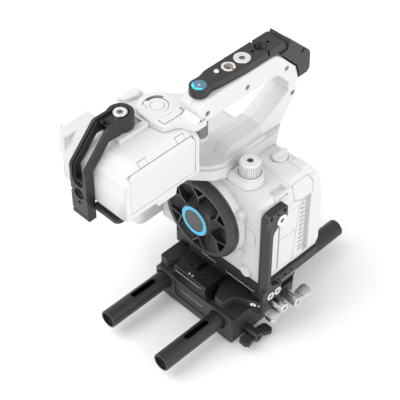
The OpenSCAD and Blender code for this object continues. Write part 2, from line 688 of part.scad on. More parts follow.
module knob_pedestal() {
    seated() color(white) difference() {
        union() {
            plan([[15.9, 84.6], [30.5, 84.6], [34.5, 86.5], [37.8, 92], [37.8, 99], [34.5, 103.6], [30, 105.2], [15.9, 105.2]], body_top, pedestal_top - 1);
            plan([[15.9, 85.6], [30.2, 85.6], [33.8, 87.3], [36.8, 92.3], [36.8, 98.6], [33.8, 102.8], [29.8, 104.2], [15.9, 104.2]], pedestal_top - 1, pedestal_top);
        }
        bar_z(knob_x, knob_y, pedestal_top - 5, pedestal_top + 1, 3.05);
    }
}
module handle_lock_knob() {
    teeth = 36;
    knob_r = 8;
    top = pedestal_top + 13.5;
    seated() color(white) translate([knob_x, knob_y, 0]) difference() {
        union() {
            translate([0, 0, pedestal_top - 4.9]) cylinder(h = 6, r = 3);
            translate([0, 0, pedestal_top + gap]) cylinder(h = 2, r = knob_r + 0.8);
            translate([0, 0, pedestal_top + 2]) cylinder(h = top - pedestal_top - 3.5, r = knob_r);
            translate([0, 0, top - 1.5]) cylinder(h = 1.5, r1 = knob_r, r2 = knob_r - 1.3);
        }
        for (i = [0:teeth - 1]) rotate([0, 0, i * 360 / teeth])
            translate([knob_r - 0.4, -0.25, pedestal_top + 2.6]) cube([1, 0.5, top - pedestal_top - 3]);
        translate([0, 0, top - 3]) cylinder(h = 4, r = 2.6, $fn = 6);
    }
}
module mode_dial() {
    deck = body_top + 3;
    seated() color(white) union() {
        bar_z(27.4, 127.6, deck - 2.7, deck + 1.2, 6.3);
        translate([27.4, 127.6, deck + 1]) rotate([0, 0, 90]) span([-7.2, -1.6, 0], [7.2, 1.6, 3.2]);
    }
}

module handle_foot() {
    low = drawn_top + seat;
    deck = drawn_top + 3 + seat;
    prow_low = 128;
    leg_seat = 138;
    pad_top = 141;
    on_body() color(white) difference() {
        union() {
            intersection() {
                plan([[-15.5, 84], [15.5, 84], [15.5, 136], [10, 148.1], [-10, 148.1], [-15.5, 136]], low, leg_seat);
                profile([[80, 120], [138, 120], [139, 126], [148.1, leg_seat], [148.1, 140], [80, 140]], -20, 20);
            }
            plan([[-26, 56], [-8, 56], [10, 72], [12.5, 75], [15.5, 82], [15.5, 90], [-15.5, 90], [-26, 78]], prow_low, leg_seat);
            plan([[-25, 57.5], [-9, 57.5], [8.5, 73], [13.5, 82], [13.5, 127], [-13.5, 127], [-13.5, 84], [-25, 78]],
                leg_seat - seat, pad_top);
            profile([[85, pad_top - 1], [91.5, 148.3], [93, 149.5], [125, 149.5], [128, 148], [128, pad_top - 1]], -handle_half_w, handle_half_w);
        }
        profile([[50, 120], [84.1, 120], [84.1, prow_low - 0.1], [50, prow_low - 0.1]], -40, 40);
        profile([[112.4, 120], [112.4, low], [115.9, deck], [134.2, deck], [139.3, deck - 3.5], [160, deck - 3.5], [160, 120]], -40, 40);
        span([-handle_half_w - gap, 125 + seat, leg_seat], [handle_half_w + gap, 150, 160]);
    }
}

// Side outline of the handle: bar, rear corner and sloping leg.
module handle_half(x0, x1) {
    difference() {
        profile([[bar_front, bar_bottom], [bar_front, bar_top - 7], [bar_front + 4, bar_top - 2], [bar_front + 9, bar_top],
            [134, bar_top], [140, 204.8], [144.4, 201.8], [161.3, 183.8],
            [163.7, 176.2], [163.9, 159.3], [148.1, 138.1], [125.2, 138.1], [125.2, 149.4], [126.4, 149.4],
            [153.2, 165.6], [153.4, 172.8], [150, 177.5], [142, 185.5], [138, 187]], x0, x1);
        for (c = [[69.5, 194.5], [109.2, 194.5], [150.4, 188.2], [158.6, 161]]) bar_x(x1 - 1.6, x1 + 1, c[0], c[1], 2.2);
        for (c = [[69.5, 194.5], [109.2, 194.5], [150.4, 188.2], [158.6, 161]]) bar_x(x0 - 1, x0 + 1.6, c[0], c[1], 2.2);
    }
}
module handle_half_right() { on_body() color(white) handle_half(0.05, handle_half_w); }
module handle_half_left() { on_body() color(white) handle_half(-handle_half_w, -0.05); }
module handle_screws() {
    on_body() color(steel) for (c = [[69.5, 194.5], [109.2, 194.5], [150.4, 188.2], [158.6, 161]])
        translate([handle_half_w - 0.6, c[0], c[1]]) rotate([0, 90, 0]) socket_head(2.1, 1, 1);
}

module control_head() {
    low = 174;
    on_body() color(white) difference() {
        union() {
            plan([[-38, 50], [-34, 42], [-26, 38.6], [-14, 38.2], [-8, 39.3], [-3.5, 40.2], [-2, 44], [-1, 48], [2, 52], [7, 54.2],
                [11.8, 57.5], [11.8, bar_front + 5], [-11, 77], [-20, 74], [-34, 64], [-38, 57]], box_top + seat, head_top);
            plan([[-38, box_rear + seat], [-4, box_rear + seat], [-4, 77], [-11, 77], [-20, 74], [-34, 64]], low, box_top + 0.2);
        }
        span([-handle_half_w - seat, bar_front - seat, low - 1], [handle_half_w + seat, 90, head_top + 1]);
        bar_z(rec_x, rec_y, head_top - 3, head_top + 1, 8.3);
        translate([rec_x, rec_y, head_top - 3]) linear_extrude(4) polygon(concat([[0, 0]], arc(10.4, lever_angle - 98, lever_angle + 17, 16)));
        rounded_span([rocker_x - rocker_half_w - 0.5, rocker_front - 0.6, head_top - 4],
            [rocker_x + rocker_half_w + 0.5, bar_front, head_top + 1], 1.2);
    }
    on_body() color(white) profile([[57, head_top - 3], [57, head_top], [60, head_top + 2], [bar_front - 0.2, 196], [bar_front - 0.2, head_top - 3]],
        rocker_x + rocker_half_w + 1.2, handle_half_w + 1);
}
module head_dial() {
    ribs = 30;
    low = 173.5;
    top = box_top - 0.2;
    on_body() color(black) translate([dial_x, dial_y, 0]) difference() {
        union() {
            translate([0, 0, low]) cylinder(h = top - low, r = dial_r);
            translate([0, 0, top - 0.5]) cylinder(h = bar_bottom - seat - top + 0.5, r = 2);
        }
        for (i = [0:ribs - 1]) rotate([0, 0, i * 360 / ribs])
            translate([dial_r - 0.35, -0.25, low + 1]) cube([1, 0.5, top - low - 2]);
    }
}
module rec_lock_ring() {
    on_body() color(white) difference() {
        union() {
            bar_z(rec_x, rec_y, head_top - 2.7, head_top - 0.3, 8);
            translate([rec_x, rec_y, head_top - 2.7]) rotate([0, 0, lever_angle]) span([4, -2.2, 0], [9.8, 2.2, 2.7]);
        }
        bar_z(rec_x, rec_y, head_top - 4, head_top + 2, 5.2);
    }
}
module rec_button() { on_body() color(white) bar_z(rec_x, rec_y, head_top - 1.2, head_top - 0.1, 4.9); }
module zoom_rocker() {
    middle = (rocker_front + rocker_rear) / 2;
    on_body() color(white) profile([[rocker_front, head_top - 1.8], [rocker_rear, head_top - 1.8], [rocker_rear, head_top + 1],
        [rocker_rear - 3, head_top + 1.2], [middle + 3.5, head_top + 0.6], [middle - 3.5, head_top + 0.6],
        [rocker_front + 3, head_top + 1.2], [rocker_front, head_top + 1]], rocker_x - rocker_half_w, rocker_x + rocker_half_w);
}

module audio_box() {
    corner = 6;
    left_top = box_left - 8;
    on_body() color(white) difference() {
        union() {
            intersection() {
                profile([[box_front, 147], [box_front, 166], [-8, 175.5], [-2.5, 181.5], [4, 185], [8, box_top], [box_rear, box_top],
                    [box_rear, box_under], [39, box_under], [37.5, 139.5], [21, 139.5], [19, box_belly], [box_front + 2.4, box_belly]], -box_left, box_right);
                front_view([[-box_left, 139], [box_right, 139], [box_right, chamfer_low], [box_right - chamfer_w, box_top],
                    [box_right - chamfer_w, box_top + 1], [-left_top, box_top + 1], [-box_left, 176]], -50, 100);
                rounded_span([-box_left, box_front, 130], [box_right, box_rear + 10, 190], corner);
            }
            intersection() {
                plan([[-50, -10], [-56, -9.5], [-63, -4], [-66, 2.5], [-60.5, 6.5], [-60.5, 21], [-50, 21]], 150, 190);
                front_view([[-50, 168], [-60, 168], [-66, 174], [-66, 178.5], [-60, 184], [-50, 184]], -20, 40);
            }
            intersection() {
                plan([[-54.5, 42], [-49, 40.5], [-45.8, 44], [-42.5, 55], [-47, 58.5], [-54.5, 58.5]], 170, box_top + 5);
                front_view([[-54.5, 176], [-54.5, box_top], [-50, box_top + 3.5], [-44, box_top + 3.5], [-42, box_top], [-42, 176]], 0, 100);
            }
        }
        front_view(door_outline(gap), door_front_y - gap, door_rear_y + gap);
        for (y = latch_front_y) front_view(latch_outline(gap), y - gap, y + latch_l + gap);
    }
}
// Door and latches as seen from the front; the door's upper edge is bent over the chamfer.
function door_outline(clear) = [[box_right - door_t - clear, door_low - clear], [box_right + (clear > 0 ? 1 : 0), door_low - clear],
    [box_right + (clear > 0 ? 1 : 0), chamfer_low], [box_right - 3.1 - clear * 0.7 + (clear > 0 ? 1 : 0), chamfer_low + 3.1 + clear * 0.7 + (clear > 0 ? 1 : 0)],
    [box_right - 3.1 - clear * 0.7, chamfer_low + 3.1 + clear * 0.7], [box_right - 4.6 - clear * 1.4, chamfer_low + 1.6],
    [box_right - door_t - clear, chamfer_low - 0.7]];
function latch_outline(clear) = [[latch_top_x - clear, latch_top_z + clear], [latch_top_x - 1 - clear, latch_top_z - 1],
    [latch_top_x + 2.2, latch_top_z - 4.2 - clear], [latch_top_x + 3.2 + clear, latch_top_z - 3.2 - clear],
    [latch_top_x + 4, latch_top_z - 2.4], [latch_top_x + 1, latch_top_z + 1]];
module latch(y) {
    front_view([[latch_top_x, latch_top_z], [latch_top_x - 1, latch_top_z - 1], [latch_top_x + 2.2, latch_top_z - 4.2],
        [latch_top_x + 3.2, latch_top_z - 3.2]], y, y + latch_l);
}
module door_latch_front() { on_body() color(white) latch(latch_front_y[0]); }
module door_latch_rear() { on_body() color(white) latch(latch_front_y[1]); }
module audio_door() {
    corner = 5;
    on_body() color(white) difference() {
        front_view([[box_right - door_t, door_low], [box_right, door_low], [box_right, chamfer_low],
            [box_right - 3.1, chamfer_low + 3.1], [box_right - 4.6, chamfer_low + 1.6], [box_right - door_t, chamfer_low - 0.7]],
            door_front_y, door_rear_y);
        profile([[door_front_y - 1, chamfer_low - 1], [door_front_y, chamfer_low - 1], [door_front_y + corner, chamfer_low + 4],
            [door_front_y - 1, chamfer_low + 4]], box_right - 8, box_right + 1);
        profile([[door_rear_y - 2, chamfer_low + 4], [door_rear_y, chamfer_low], [door_rear_y + 1, chamfer_low + 4]], box_right - 8, box_right + 1);
    }
}
module audio_sockets() {
    on_body() color(black) difference() {
        bar_x(-67.4, -66.05, 2.2, 176.2, 1.6);
        bar_x(-68, -66.5, 2.2, 176.2, 0.9);
    }
}

module accessory_shoe() {
    rail_in = 9;
    rail_out = 10.6;
    on_body() color(white) difference() {
        span([strap_x - rail_out - 1, 11, box_top], [strap_x + rail_out + 1, shoe_rear, shoe_top + 1.2]);
        span([strap_x - rail_in, 5, box_top + 0.8], [strap_x + rail_in, shoe_rear - 2, shoe_top - 0.9]);
        span([strap_x - rail_in + 2.4, 5, box_top + 0.8], [strap_x + rail_in - 2.4, shoe_rear - 2, shoe_top + 3]);
    }
}

module guard_bracket() {
    x0 = strap_x - strap_w / 2;
    x1 = strap_x + strap_w / 2;
    inner = strap_front + strap_t;
    eye_r = 9.8;
    hole_z = 153.1;
    tab_r = 5;
    tab_y = strap_front + 10.3;
    tab_top = box_belly - gap;
    on_body() color(black) difference() {
        union() {
            profile([[strap_front + 1, 130], [strap_front, 131], [strap_front, 133.6], [strap_front + 0.6, 134], [strap_front + 0.6, 134.8],
                [strap_front, 135.2], [strap_front, 176], [strap_front + 1.2, 178.3], [3.6, 201.2], [5.5, eye_top], [eye_y, eye_top],
                [eye_y, eye_bottom], [4.6, eye_bottom], [inner, 174], [inner, 130]], x0, x1);
            bar_z(strap_x, eye_y, eye_bottom, eye_top, eye_r);
            span([x1 - 1, tab_y - tab_r, tab_top - 3.3], [1, tab_y + tab_r, tab_top]);
            bar_z(1, tab_y, tab_top - 3.3, tab_top, tab_r);
        }
        bar_y(strap_x, strap_front - 1, inner + 1, hole_z, mount_hole_d / 2);
        for (a = [0:90:270]) bar_y(strap_x + 8.4 * cos(a), strap_front - 1, strap_front + 5, hole_z + 8.4 * sin(a), 1.4);
        profile([[strap_front - 1, 165.6], [strap_front + 1.6, 165.6], [strap_front + 1.6, 175.6], [strap_front + 2.4, 177.2],
            [4.8, 200.1], [6, 200.4], [6, eye_top + 1], [strap_front - 1, eye_top + 1]], strap_x - 5.6, strap_x + 5.6);
        bar_y(strap_x, strap_front - 1, strap_front + 1.6, 165.6, 5.6);
        profile([[strap_front - 1, 164], [inner + 1, 164], [inner + 1, 172], [12, 193], [5, eye_top + 1], [strap_front - 1, 178.5]], strap_x - 4.2, strap_x + 4.2);
        span([strap_x - 5.6, 5.5, eye_top - 2.2], [strap_x + 5.6, eye_y, eye_top + 1]);
        bar_z(strap_x, eye_y, eye_top - 2.2, eye_top + 1, 6.4);
        bar_z(strap_x, eye_y, eye_top - 3.2, eye_top + 1, 5.3);
        bar_z(strap_x, eye_y, eye_bottom - 1, eye_top + 1, 3.1);
        bar_z(strap_x, 10, eye_top - 4.5, eye_top + 1, 2.6);
    }
}
module guard_bolt() {
    on_body() color(steel) union() {
        translate([strap_x, eye_y, eye_top + 0.4]) socket_head(5.1, 3.4, 2.4);
        bar_z(strap_x, eye_y, box_top + 1.8, eye_top - 2.9, 3);
        span([strap_x - 8.7, eye_y - 7, box_top + 1], [strap_x + 8.7, eye_y + 7, shoe_top - 1.2]);
    }
}

module top_plate() {
    small_r = 7.2;
    hole_y = 131.6;
    tooth_pitch = 1.6;
    w = top_plate_half_w;
    low = bar_top + 0.05;
    on_body() color(black) difference() {
        union() {
            bar_z(0, nose_y, low, top_plate_top, small_r);
            plan([[-small_r, nose_y], [small_r, nose_y], [5.6, 78.4], [6.8, 86], [w, 112], [w, top_plate_rear], [-w, top_plate_rear],
                [-w, 84], [-6.8, 77.3]], low, top_plate_top);
            profile([[136.5, 206.05], [136.5, top_plate_top], [top_plate_rear, top_plate_top], [top_plate_rear + 0.5, 208.6],
                [top_plate_rear + 1.6, 208.2], [153.1, 212.6], [168.3, 197.9], [165.4, 194.9], [166.8, 193.5], [169.9, 196.5],
                [174.3, 192.6], [176.1, 189.1],
                [176.6, 175.3], [174.1, 172], [164.4, 171.9], [164.3, 178], [161.9, 184.9], [145.2, 202.6], [140.4, 206.05]],
                -handle_half_w, handle_half_w);
        }
        for (side = [0, 1]) mirror([side, 0, 0]) span([w, 130, bar_top - 1], [handle_half_w + 1, top_plate_rear + 2.6, top_plate_top + 2]);
        for (i = [-5:5]) bar_z(i * tooth_pitch, top_plate_rear + 0.1, 209, top_plate_top + 1, 0.5, 12);
        bar_z(0, nose_y, top_plate_top - 3, top_plate_top + 1, 6.3);
        bar_z(-1.2, 89, top_plate_top - 4, top_plate_top + 1, 2.05);
        bar_z(0, 99.5, low - 1, top_plate_top + 1, 5.25);
        bar_z(0, 113.2, top_plate_top - 3, top_plate_top + 1, 6.5);
        bar_z(0, 113.2, low - 1, top_plate_top - 2, 3.1);
        bar_z(0, hole_y, low - 1, top_plate_top + 1, mount_hole_d / 2);
        for (a = [0:90:270]) bar_z(7.8 * cos(a), hole_y + 7.8 * sin(a), top_plate_top - 4, top_plate_top + 1, 1.3);
    }
}
module top_plate_screw() {
    on_body() color(steel) union() {
        translate([0, 113.2, top_plate_top + 0.4]) socket_head(6.3, 3.2, 2.4);
        bar_z(0, 113.2, bar_top + 0.2, top_plate_top - 2.7, 3);
    }
}
module thread_insert() {
    on_body() color(steel) difference() {
        bar_z(0, 99.5, bar_top + 0.2, top_plate_top + 0.2, 5.2);
        bar_z(0, 99.5, bar_top, top_plate_top + 1, 3.2);
        span([2.8, 99, top_plate_top - 1], [6, 100.4, top_plate_top + 1]);
    }
}
module locating_pin() {
    on_body() color(steel) union() {
        bar_z(-1.2, 89, top_plate_top - 4, top_plate_top + 1.4, 2);
        translate([-1.2, 89, top_plate_top + 1.4]) cylinder(h = 1, r1 = 2, r2 = 1);
    }
}
module level_bezel() {
    on_body() color(cyan) difference() {
        bar_z(0, nose_y, top_plate_top - 3, top_plate_top + 0.2, 6.25);
        bar_z(0, nose_y, top_plate_top - 2.4, top_plate_top + 1, 5.4);
    }
}
module level_vial() { on_body() color(cyan) bar_z(0, nose_y, top_plate_top - 2.4, top_plate_top + 0.3, 5.35); }

rod_clamp_block();
rod_clamp_pad();
rod_clamp_washer();
rod_clamp_screw();
rod_left();
rod_right();
receiver_body();
receiver_bolts();
receiver_jaw();
jaw_washers();
jaw_screw_front();
jaw_screw_rear();
dovetail_plate();
deck_pins();
camera_plate();
camera_screw();
side_arm();
side_arm_screws();
side_arm_top_screw();
lens_cap();
cap_badge();
lens_mount_ring();
lens_release_button();
body_front_shell();
body_rear_shell();
grip();
grip_dial();
port_door_front();
port_door_upper();
port_door_lower();
upper_cover();
vent_grille();
rear_screen();
strap_lug();
knob_pedestal();
handle_lock_knob();
mode_dial();
handle_foot();
handle_half_right();
handle_half_left();
handle_screws();
control_head();
head_dial();
rec_button();
rec_lock_ring();
zoom_rocker();
audio_box();
audio_door();
door_latch_front();
door_latch_rear();
audio_sockets();
accessory_shoe();
guard_bracket();
guard_bolt();
top_plate();
top_plate_screw();
thread_insert();
locating_pin();
level_bezel();
level_vial();
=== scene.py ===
# Camera cage kit: a rod base, dovetail plate, side arm, handle plate and guard bracket, fitted to a
# plain dummy camera.
import bpy
import json
import math
from mathutils import Matrix, Vector
from mathutils.bvhtree import BVHTree
from mathutils.kdtree import KDTree


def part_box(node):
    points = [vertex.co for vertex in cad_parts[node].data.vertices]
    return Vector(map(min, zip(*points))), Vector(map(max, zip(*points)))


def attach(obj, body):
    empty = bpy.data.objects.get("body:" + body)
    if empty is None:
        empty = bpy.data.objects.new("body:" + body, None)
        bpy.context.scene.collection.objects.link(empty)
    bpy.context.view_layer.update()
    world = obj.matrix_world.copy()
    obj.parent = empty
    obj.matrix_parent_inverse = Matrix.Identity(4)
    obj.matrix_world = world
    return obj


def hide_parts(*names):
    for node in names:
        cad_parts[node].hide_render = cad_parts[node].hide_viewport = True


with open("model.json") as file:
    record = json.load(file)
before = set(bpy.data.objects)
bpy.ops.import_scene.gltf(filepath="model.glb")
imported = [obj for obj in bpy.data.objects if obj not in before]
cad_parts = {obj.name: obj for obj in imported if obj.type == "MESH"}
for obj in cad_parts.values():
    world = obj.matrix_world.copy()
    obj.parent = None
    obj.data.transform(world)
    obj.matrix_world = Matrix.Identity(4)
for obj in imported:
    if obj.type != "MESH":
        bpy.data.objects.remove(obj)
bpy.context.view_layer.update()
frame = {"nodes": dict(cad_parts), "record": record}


# Rods: two slotted aluminium tubes, blasted and black anodised, that slide in the clamp block.
# Their cut ends are broken with a small chamfer, and both ends are threaded inside for an extension.
left_rod, right_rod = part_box("rod_left"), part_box("rod_right")
rods_front = Vector(((left_rod[0][0] + right_rod[1][0]) / 2, left_rod[0][1],
                     (left_rod[0][2] + left_rod[1][2]) / 2))


def at(x, y, z):
    """A place in millimetres from the middle between the rods' front ends."""
    return rods_front + Vector((x, y, z)) / 1000


class Wire:
    """A shader socket. Sums and products on it add the Math nodes that do them."""

    def __init__(self, tree, socket=None):
        self.tree, self.socket = tree, socket

    def make(self, kind, settings=None, inputs=None, output=0):
        node = self.tree.nodes.new("ShaderNode" + kind)
        for key, value in (settings or {}).items():
            setattr(node, key, value)
        for key, value in (inputs or {}).items():
            if isinstance(value, Wire):
                self.tree.links.new(value.socket, node.inputs[key])
            else:
                node.inputs[key].default_value = value
        return Wire(self.tree, node.outputs[output])

    def maths(self, operation, first, second=0.0):
        return self.make("Math", {"operation": operation}, {0: first, 1: second})

    def __add__(self, other):
        return self.maths("ADD", self, other)

    __radd__ = __add__

    def __sub__(self, other):
        return self.maths("SUBTRACT", self, other)

    def __rsub__(self, other):
        return self.maths("SUBTRACT", other, self)

    def __mul__(self, other):
        return self.maths("MULTIPLY", self, other)

    __rmul__ = __mul__

    def __gt__(self, other):
        return self.maths("GREATER_THAN", self, other)

    def __lt__(self, other):
        return self.maths("LESS_THAN", self, other)

    def __abs__(self):
        return self.maths("ABSOLUTE", self)

    def sine(self):
        return self.maths("SINE", self)

    def hypotenuse(self, other):
        return self.maths("SQRT", self * self + other * other)

    def step(self, low, high):
        """0 below low, 1 above high, and a soft rise between them."""
        return self.make("MapRange", {"interpolation_type": "SMOOTHSTEP"},
                         {"Value": self, "From Min": low, "From Max": high})

    def parts(self, centre):
        """X, Y and Z of a place, in millimetres from a centre."""
        moved = self.make("Mapping", {"vector_type": "POINT"}, {
            "Vector": self,
            "Location": tuple(-1000 * c for c in centre),
            "Scale": (1000, 1000, 1000)})
        node = self.tree.nodes.new("ShaderNodeSeparateXYZ")
        self.tree.links.new(moved.socket, node.inputs[0])
        return [Wire(self.tree, out) for out in node.outputs]


def finish(name, colour, roughness, metallic=0.0, mottle=0.06, grain=2400.0, depth=0.00002,
           coat=0.0, pattern=None):
    """A material whose tone drifts over the surface, with a fine blasted or moulded grain.

    The grain's depth is in metres. A pattern takes the place's wire and gives a list of
    (mask, colour), and a height in metres or None."""
    drift_scale, roughness_spread = 45.0, 0.05
    first, second = 6, 7  # the colour inputs of a Mix node
    material = bpy.data.materials.new(name)
    material.use_nodes = True
    tree = material.node_tree
    shader = tree.nodes["Principled BSDF"]
    place = Wire(tree).make("TexCoord", output="Object")
    drift = place.make("TexNoise", {}, {"Vector": place, "Scale": drift_scale, "Detail": 3.0})
    skin = place.make("TexNoise", {}, {"Vector": place, "Scale": grain, "Detail": 2.0})
    light = tuple(min(1.0, c * (1 + mottle)) for c in colour) + (1.0,)
    dark = tuple(c * (1 - mottle) for c in colour) + (1.0,)
    mix = {"data_type": "RGBA"}
    tone = place.make("Mix", mix, {0: drift, first: dark, second: light}, output=2)
    height = skin * depth
    if pattern:
        layers, relief = pattern(place)
        for mask, paint in layers:
            tone = place.make("Mix", mix, {0: mask, first: tone, second: (*paint, 1.0)}, output=2)
        if relief:
            height = height + relief
    bump = place.make("Bump", {}, {"Strength": 1.0, "Distance": 1.0, "Height": height})
    gloss = drift * roughness_spread + (roughness - roughness_spread / 2)
    shader.inputs["Metallic"].default_value = metallic
    shader.inputs["Coat Weight"].default_value = coat
    for value, socket in ((tone, "Base Color"), (gloss, "Roughness"), (bump, "Normal")):
        tree.links.new(value.socket, shader.inputs[socket])
    return material


def alone(obj):
    """Makes one object the only selected and the active one."""
    bpy.ops.object.select_all(action="DESELECT")
    obj.select_set(True)
    bpy.context.view_layer.objects.active = obj


def apply_all(obj):
    """Applies the object's modifiers in order."""
    alone(obj)
    for modifier in list(obj.modifiers):
        bpy.ops.object.modifier_apply(modifier=modifier.name)


def line(name, places, thick=0.0, closed=False):
    """A mesh path through the places: a wire, or a round bead of a thickness in millimetres."""
    curve = bpy.data.curves.new(name, "CURVE")
    curve.dimensions = "3D"
    curve.bevel_depth = thick / 2000
    curve.bevel_resolution = 1
    curve.use_fill_caps = not closed
    spline = curve.splines.new("POLY")
    spline.points.add(len(places) - 1)
    for point, place in zip(spline.points, places):
        point.co = (*place, 1.0)
    spline.use_cyclic_u = closed
    wire = bpy.data.objects.new(name, curve)
    bpy.context.scene.collection.objects.link(wire)
    alone(wire)
    bpy.ops.object.convert(target="MESH")
    return bpy.context.active_object


def edge_folds(mesh):
    """How far the surface folds at each edge, in radians: over 0 outwards, under 0 inwards."""
    faces = [[] for _ in mesh.edges]
    for polygon in mesh.polygons:
        for loop in polygon.loop_indices:
            faces[mesh.loops[loop].edge_index].append(polygon)
    folds = []
    for edge, pair in zip(mesh.edges, faces):
        if len(pair) != 2:
            folds.append(0.0)
            continue
        one, two = (mesh.vertices[i].co for i in edge.vertices)
        loop = next(i for i in pair[0].loop_indices if mesh.loops[i].edge_index == edge.index)
        way = two - one if mesh.loops[loop].vertex_index == edge.vertices[0] else one - two
        turn = pair[0].normal.cross(pair[1].normal).dot(way)
        folds.append(math.copysign(pair[0].normal.angle(pair[1].normal, 0.0), turn))
    return folds


def widths(mesh, edge, crisp):
    """The width in millimetres that each edge is broken by.

    It's less at small holes and at crisp edges, and no more than its corners have room for."""
    sharp_fold = math.radians(32)
    hollow_folds = math.radians(-50), math.radians(-2)
    free = 10.0
    flat_room, rim_room = 400, 420  # millimetres for each metre of a neighbouring edge
    one_line = 0.85
    facet, hole_width, crisp_width = 0.0012, 0.14, 0.15
    folds = edge_folds(mesh)
    sharp = [fold > sharp_fold for fold in folds]
    room = [free] * len(mesh.vertices)
    rims = [[] for _ in mesh.vertices]
    hollow = [False] * len(mesh.vertices)
    for rim, fold, flag in zip(mesh.edges, folds, sharp):
        one, two = rim.vertices
        way = mesh.vertices[two].co - mesh.vertices[one].co
        for corner in (one, two):
            if flag:
                rims[corner].append(way)
            else:
                room[corner] = min(room[corner], flat_room * way.length)
                hollow[corner] = hollow[corner] or hollow_folds[0] < fold < hollow_folds[1]
    for corner, ways in enumerate(rims):
        for i, way in enumerate(ways):
            for other in ways[:i]:
                if abs(way.normalized().dot(other.normalized())) < one_line:
                    room[corner] = min(room[corner], rim_room * way.length,
                                       rim_room * other.length)
    result = []
    for rim, flag in zip(mesh.edges, sharp):
        one, two = rim.vertices
        ends = mesh.vertices[one].co, mesh.vertices[two].co
        width = min(edge, room[one], room[two])
        if hollow[one] and hollow[two] and (ends[1] - ends[0]).length < facet:
            width = min(width, hole_width)
        if crisp and crisp((ends[0] + ends[1]) / 2):
            width = min(width, crisp_width)
        result.append(width if flag else 0.0)
    return result


bodies = frame["record"]["behaviour"]["bodies"]
body_of_node = {node: body for body, nodes in bodies.items() for node in nodes}


def belongs(piece, node, material):
    """Dresses a piece in its material and says which node's body it follows."""
    piece.data.materials.clear()
    piece.data.materials.append(material)
    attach(piece, body_of_node[node])
    return piece


def surface(mesh):
    """The mesh's faces as a tree that finds nearest points and meets rays."""
    return BVHTree.FromPolygons([v.co for v in mesh.vertices], [p.vertices for p in mesh.polygons])


def torn_places(result, skin, stray):
    """Corners of a rounded mesh that lie off the old skin, or whose faces are turned over."""
    sliver, on_skin, lifted, same_side = 1e-8, 1e-5, 4e-5, 0.2
    torn = []
    result.calc_loop_triangles()
    for triangle in result.loop_triangles:
        places = [result.vertices[i].co.copy() for i in triangle.vertices]
        _, normal, _, far = skin.find_nearest(sum(places, Vector()) / 3)
        turned = far < on_skin and normal.dot(triangle.normal) < same_side
        if triangle.area > sliver and (far > stray or turned):
            torn += places
    for vertex in result.vertices:
        spot, normal, _, far = skin.find_nearest(vertex.co)
        if far > stray or (far > lifted and (vertex.co - spot).dot(normal) > lifted):
            torn.append(vertex.co.copy())
    return torn


def break_edges(piece, edge, steps, weights):
    """Rounds the weighted edges. Where it tears, the edges get a smaller width and it's redone."""
    rounds, halvings = 8, 4
    stray, near = 0.0006 * edge + 0.00002, 0.002 * edge
    mesh = piece.data
    skin = surface(mesh)
    corners = KDTree(len(mesh.vertices))
    for vertex in mesh.vertices:
        corners.insert(vertex.co, vertex.index)
    corners.balance()
    weight_layer = mesh.attributes.new("bevel_weight_edge", "FLOAT", "EDGE").name
    bevel = piece.modifiers.new("broken_edges", "BEVEL")
    bevel.limit_method, bevel.width, bevel.segments = "WEIGHT", edge / 1000, steps
    bevel.use_clamp_overlap = False
    for attempt in range(rounds):
        mesh.attributes[weight_layer].data.foreach_set("value", weights)
        result = piece.evaluated_get(bpy.context.evaluated_depsgraph_get()).to_mesh()
        torn = torn_places(result, skin, stray)
        if not torn:
            break
        hurt = {index for place in torn for _, index, far in corners.find_n(place, 2)
                if far < near}
        for rim in mesh.edges:
            if weights[rim.index] and (rim.vertices[0] in hurt or rim.vertices[1] in hurt):
                weights[rim.index] *= 0.5 if attempt < halvings else 0.0
    apply_all(piece)


def machined(node, material, edge=0.35, steps=2, grooves=(), crisp=None):
    """The node's shape with its outer edges broken and its lines cut in.

    A groove is (places, width, closed). Crisp says of an edge's middle whether it stays crisp."""
    same_place, flat, smooth = 2e-6, math.radians(0.5), math.radians(38)
    alone(frame["nodes"][node])
    bpy.ops.object.duplicate()
    piece = bpy.context.active_object
    piece.name = piece.data.name = node + "_finished"
    bpy.ops.object.mode_set(mode="EDIT")
    bpy.ops.mesh.select_all(action="SELECT")
    bpy.ops.mesh.remove_doubles(threshold=same_place)
    bpy.ops.mesh.dissolve_limited(angle_limit=flat)
    bpy.ops.object.mode_set(mode="OBJECT")
    weights = [width / edge for width in widths(piece.data, edge, crisp)]
    break_edges(piece, edge, steps, weights)
    for places, width, closed in grooves:
        tool = line("groove_tool", places, width, closed)
        cut = piece.modifiers.new("groove", "BOOLEAN")
        cut.operation, cut.solver, cut.object = "DIFFERENCE", "EXACT", tool
        apply_all(piece)
        bpy.data.objects.remove(tool)
    bpy.ops.object.shade_smooth_by_angle(angle=smooth)
    normals = piece.modifiers.new("flat_faces", "WEIGHTED_NORMAL")
    normals.keep_sharp, normals.mode = True, "FACE_AREA_WITH_ANGLE"
    apply_all(piece)
    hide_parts(node)
    return belongs(piece, node, material)


def paint_recess_shade(piece, out, material, deep=0.4, across=9.0, floors=True):
    """Paints shade into holes and sockets as a second, darker material: on faces behind the front by
    deep or more.

    They are walls that have another wall across from them, and floors where these are asked for."""
    wall_lean, floor_lean, off_skin = 0.4, 0.9, 1e-5
    mesh = piece.data
    mesh.materials.append(material)
    out = Vector(out)
    front = max(out.dot(vertex.co) for vertex in mesh.vertices)
    skin = surface(mesh)
    for polygon in mesh.polygons:
        if front - out.dot(polygon.center) < deep / 1000:
            continue
        lean = polygon.normal.dot(out)
        start = polygon.center + polygon.normal * off_skin
        other_wall = skin.ray_cast(start, polygon.normal, across / 1000)[0]
        walled = abs(lean) < wall_lean and other_wall is not None
        if walled or (floors and lean > floor_lean):
            polygon.material_index = 1


